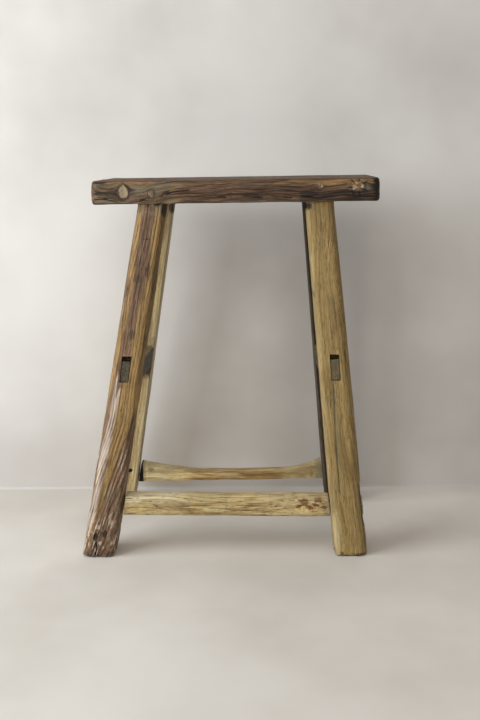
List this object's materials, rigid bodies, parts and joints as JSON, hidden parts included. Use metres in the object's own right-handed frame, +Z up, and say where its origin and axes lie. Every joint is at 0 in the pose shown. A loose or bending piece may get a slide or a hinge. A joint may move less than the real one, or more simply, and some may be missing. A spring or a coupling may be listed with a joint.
{
  "type": "wooden milking stool",
  "caption": "Rustic stool with a plank seat on splayed legs, joined by through tenons, wedges, pegs and low and mid-height stretchers.",
  "frame": {"origin": "on the floor, at the centre of the stool's bounding box", "axes": "+Z up, +X to the right along the seat's length, +Y to the back across the seat's depth"},
  "size_m": [0.4018, 0.2562, 0.5],
  "materials": {
    "seat_wood": "worn dark brown plank with grey streaks and pale knots",
    "red_brown_leg_wood": "worn, red-brown heart between yellow edges, weathered ridges low down",
    "ochre_leg_wood": "worn, waxed yellow ochre with cracks",
    "tan_leg_wood": "worn smooth yellow tan",
    "black_brown_leg_wood": "worn black brown",
    "side_stretcher_wood": "grey brown, weathered end grain",
    "cross_stretcher_wood": "worn pale ochre with brown knots and insect marks",
    "wedge_wood": "darkened with age",
    "peg_wood": "almost black with age"
  },
  "bodies": {
    "root": {"seat": "seat_wood", "leg_front_left": "red_brown_leg_wood", "leg_front_right": "ochre_leg_wood", "leg_rear_left": "tan_leg_wood", "leg_rear_right": "black_brown_leg_wood", "stretcher_left": "side_stretcher_wood", "stretcher_right": "side_stretcher_wood", "stretcher_front": "cross_stretcher_wood", "stretcher_rear": "cross_stretcher_wood", "seat_wedge_front_left": "wedge_wood", "side_wedge_front_left": "wedge_wood", "seat_wedge_rear_left": "wedge_wood", "side_wedge_rear_left": "wedge_wood", "front_wedge_left": "wedge_wood", "rear_peg_left": "peg_wood", "seat_wedge_front_right": "wedge_wood", "side_wedge_front_right": "wedge_wood", "seat_wedge_rear_right": "wedge_wood", "side_wedge_rear_right": "wedge_wood", "front_wedge_right": "wedge_wood", "rear_peg_right": "peg_wood"}
  },
  "joints": []
}
